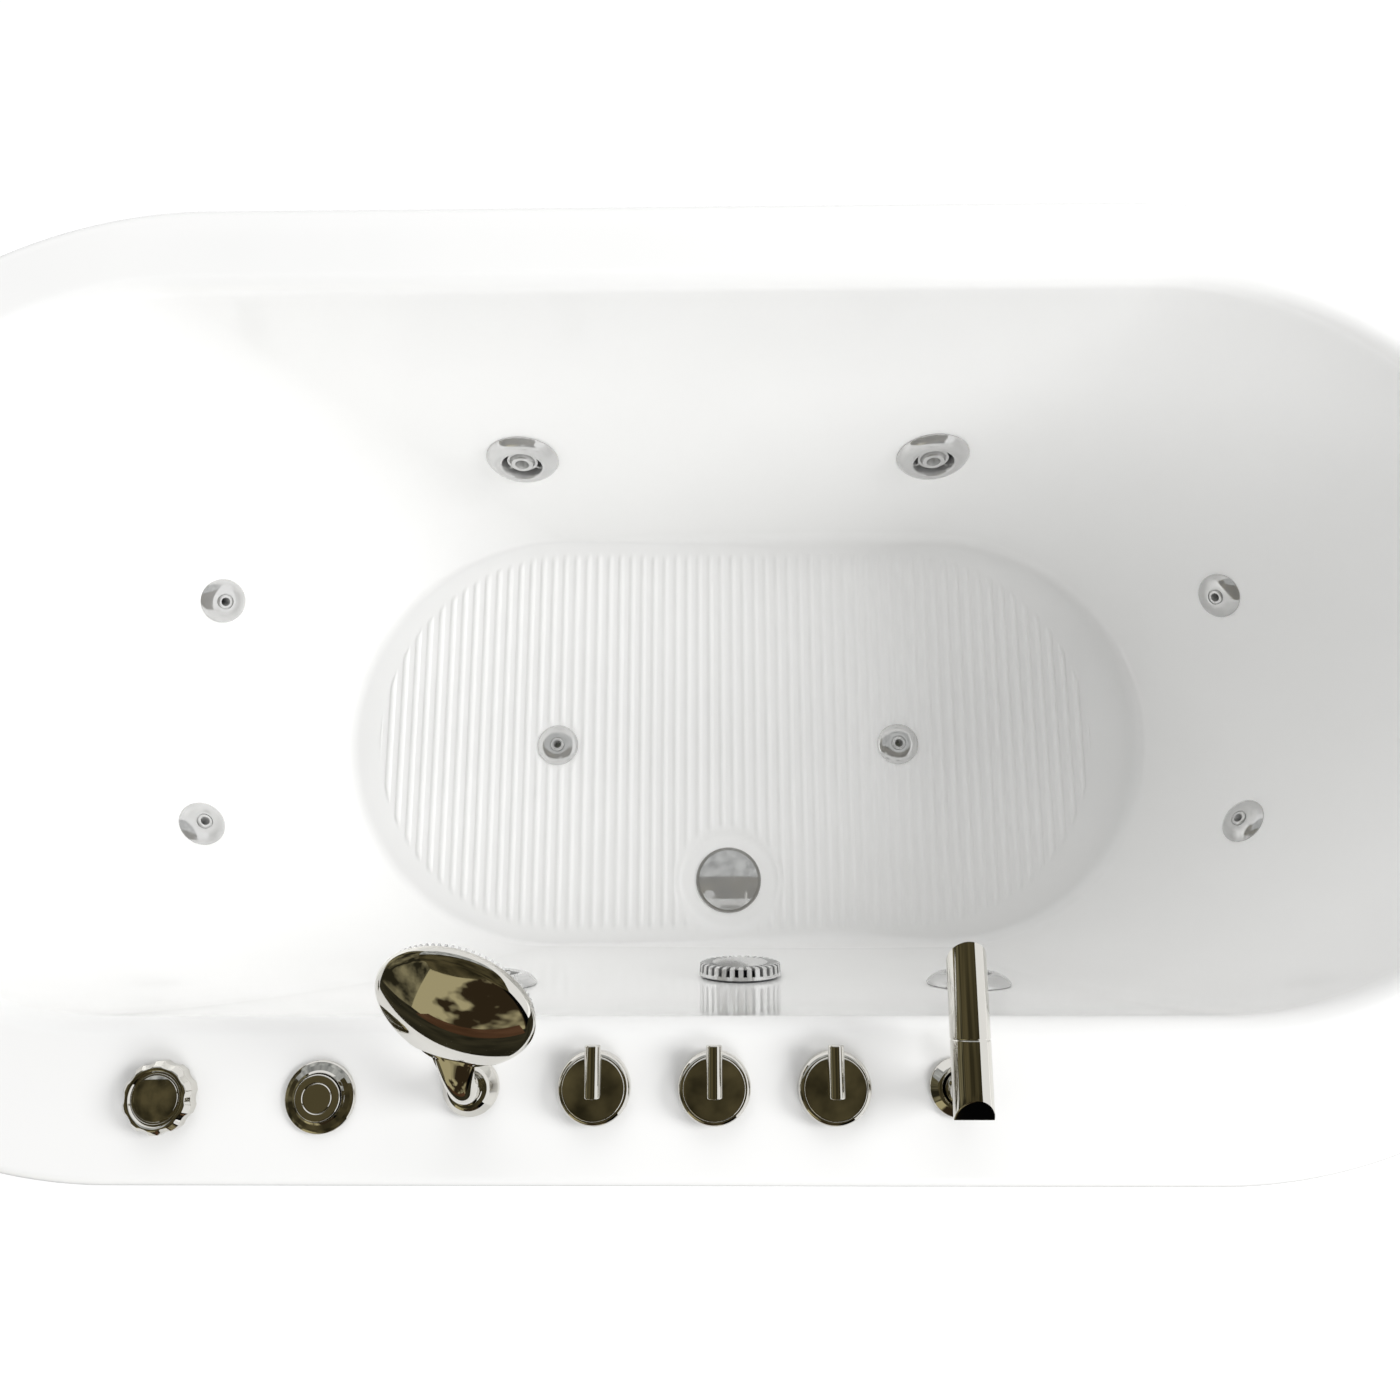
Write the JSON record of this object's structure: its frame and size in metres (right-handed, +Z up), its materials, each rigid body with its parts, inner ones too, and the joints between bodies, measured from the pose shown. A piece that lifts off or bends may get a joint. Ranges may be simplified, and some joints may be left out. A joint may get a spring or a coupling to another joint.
{
  "type": "jetted bathtub",
  "caption": "Free-standing acrylic bathtub with half-round ends, wall, end and floor jets, rim-mounted taps, spout and hand shower, and a pump under its skirt.",
  "frame": {"origin": "on the floor, under the middle of the rim's outline", "axes": "+X towards the foot end, +Y towards the back wall side, away from the taps, +Z up"},
  "size_m": [1.6, 0.8, 0.7402],
  "materials": {
    "white_acrylic": "glossy white sanitary acrylic",
    "plywood": "bare plywood",
    "zinc_steel": "zinc-plated steel, dull",
    "chrome": "polished chrome plating",
    "satin_chrome": "chrome-plated plastic, bright",
    "white_pvc": "moulded rigid plastic, satin",
    "grey_pipe": "extruded rigid plastic pipe, satin",
    "clear_hose": "air line, satin",
    "brass": "turned brass, unplated",
    "copper": "drawn copper tube",
    "motor_paint": "dark grey paint, satin",
    "black_plastic": "black moulded plastic, satin",
    "rubber": "black rubber"
  },
  "bodies": {
    "tub": {"air_button_housing": "chrome", "air_pipes": "clear_hose", "air_valve": "brass", "base_board": "plywood", "cold_valve": "brass", "deck_nuts": "brass", "diverter_valve": "brass", "drain_flange": "chrome", "end_jet_bodies": "white_pvc", "end_jet_left_back": "satin_chrome", "end_jet_left_front": "satin_chrome", "end_jet_right_back": "satin_chrome", "end_jet_right_front": "satin_chrome", "fitting_nuts": "white_pvc", "floor_jet_bodies": "white_pvc", "floor_jet_left": "satin_chrome", "floor_jet_right": "satin_chrome", "foot_nuts": "zinc_steel", "hot_valve": "brass", "jet_body_back_left": "white_pvc", "jet_body_back_right": "white_pvc", "jet_body_front_left": "white_pvc", "jet_body_front_right": "white_pvc", "jet_branch_pipes": "grey_pipe", "levelling_feet": "zinc_steel", "outer_skirt": "white_acrylic", "pump_base": "rubber", "pump_motor": "motor_paint", "pump_switch_box": "black_plastic", "pump_wet_end": "black_plastic", "shower_holder": "chrome", "spout": "chrome", "spout_flange": "chrome", "stream_former": "white_pvc", "suction_body": "white_pvc", "suction_cover": "satin_chrome", "suction_pipe": "grey_pipe", "supply_pipes": "copper", "support_frame": "zinc_steel", "tub_shell": "white_acrylic", "valve_escutcheons": "chrome", "waste_trap": "white_pvc", "water_cross_pipes": "grey_pipe", "water_main": "grey_pipe"},
    "air_knob": {"air_knob": "chrome"},
    "air_button": {"air_button": "chrome"},
    "hot_handle": {"hot_handle": "chrome"},
    "diverter_handle": {"diverter_handle": "chrome"},
    "cold_handle": {"cold_handle": "chrome"},
    "drain_plug": {"drain_plug": "chrome"},
    "hand_shower": {"hand_shower_shell": "chrome", "hand_shower_spray_plate": "black_plastic"},
    "jet_face_front_left": {"jet_face_front_left": "satin_chrome"},
    "jet_nozzle_front_left": {"jet_nozzle_front_left": "satin_chrome"},
    "jet_face_front_right": {"jet_face_front_right": "satin_chrome"},
    "jet_nozzle_front_right": {"jet_nozzle_front_right": "satin_chrome"},
    "jet_face_back_left": {"jet_face_back_left": "satin_chrome"},
    "jet_nozzle_back_left": {"jet_nozzle_back_left": "satin_chrome"},
    "jet_face_back_right": {"jet_face_back_right": "satin_chrome"},
    "jet_nozzle_back_right": {"jet_nozzle_back_right": "satin_chrome"}
  },
  "joints": [
    {"name": "air_knob_turn", "type": "hinge", "parent": "tub", "child": "air_knob", "pos_m": [-0.363, -0.338, 0.6], "axis": [0, 0, 1], "range_deg": [0, 170]},
    {"name": "air_button_press", "type": "slide", "parent": "tub", "child": "air_button", "axis": [0, 0, -1], "range_m": [0, 0.004], "stiffness_N_per_m": 600, "springref_m": -0.002},
    {"name": "hot_handle_turn", "type": "hinge", "parent": "tub", "child": "hot_handle", "pos_m": [-0.047, -0.331, 0.6], "axis": [0, 0, 1], "range_deg": [0, 90]},
    {"name": "diverter_handle_turn", "type": "hinge", "parent": "tub", "child": "diverter_handle", "pos_m": [0.04, -0.331, 0.6], "axis": [0, 0, 1], "range_deg": [-90, 90]},
    {"name": "cold_handle_turn", "type": "hinge", "parent": "tub", "child": "cold_handle", "pos_m": [0.127, -0.331, 0.6], "axis": [0, 0, -1], "range_deg": [0, 90]},
    {"name": "drain_plug_lift", "type": "slide", "parent": "tub", "child": "drain_plug", "axis": [0, 0, 1], "range_m": [0, 0.009]},
    {"name": "hand_shower_lift", "type": "slide", "parent": "tub", "child": "hand_shower", "axis": [0, 0, 1], "range_m": [0, 0.09]},
    {"name": "jet_face_front_left_turn", "type": "hinge", "parent": "tub", "child": "jet_face_front_left", "pos_m": [-0.167, -0.26545, 0.367], "axis": [0, 0.991, 0.1338], "range_deg": [-90, 90]},
    {"name": "jet_nozzle_front_left_tilt", "type": "hinge", "parent": "jet_face_front_left", "child": "jet_nozzle_front_left", "pos_m": [-0.167, -0.26545, 0.367], "axis": [-1, 0, 0], "range_deg": [-12, 12]},
    {"name": "jet_face_front_right_turn", "type": "hinge", "parent": "tub", "child": "jet_face_front_right", "pos_m": [0.279, -0.26545, 0.367], "axis": [0, 0.991, 0.1338], "range_deg": [-90, 90]},
    {"name": "jet_nozzle_front_right_tilt", "type": "hinge", "parent": "jet_face_front_right", "child": "jet_nozzle_front_right", "pos_m": [0.279, -0.26545, 0.367], "axis": [-1, 0, 0], "range_deg": [-12, 12]},
    {"name": "jet_face_back_left_turn", "type": "hinge", "parent": "tub", "child": "jet_face_back_left", "pos_m": [-0.167, 0.28859, 0.324], "axis": [0, -0.9794, 0.2017], "range_deg": [-90, 90]},
    {"name": "jet_nozzle_back_left_tilt", "type": "hinge", "parent": "jet_face_back_left", "child": "jet_nozzle_back_left", "pos_m": [-0.167, 0.28859, 0.324], "axis": [1, 0, 0], "range_deg": [-12, 12]},
    {"name": "jet_face_back_right_turn", "type": "hinge", "parent": "tub", "child": "jet_face_back_right", "pos_m": [0.279, 0.28859, 0.324], "axis": [0, -0.9794, 0.2017], "range_deg": [-90, 90]},
    {"name": "jet_nozzle_back_right_tilt", "type": "hinge", "parent": "jet_face_back_right", "child": "jet_nozzle_back_right", "pos_m": [0.279, 0.28859, 0.324], "axis": [1, 0, 0], "range_deg": [-12, 12]}
  ]
}
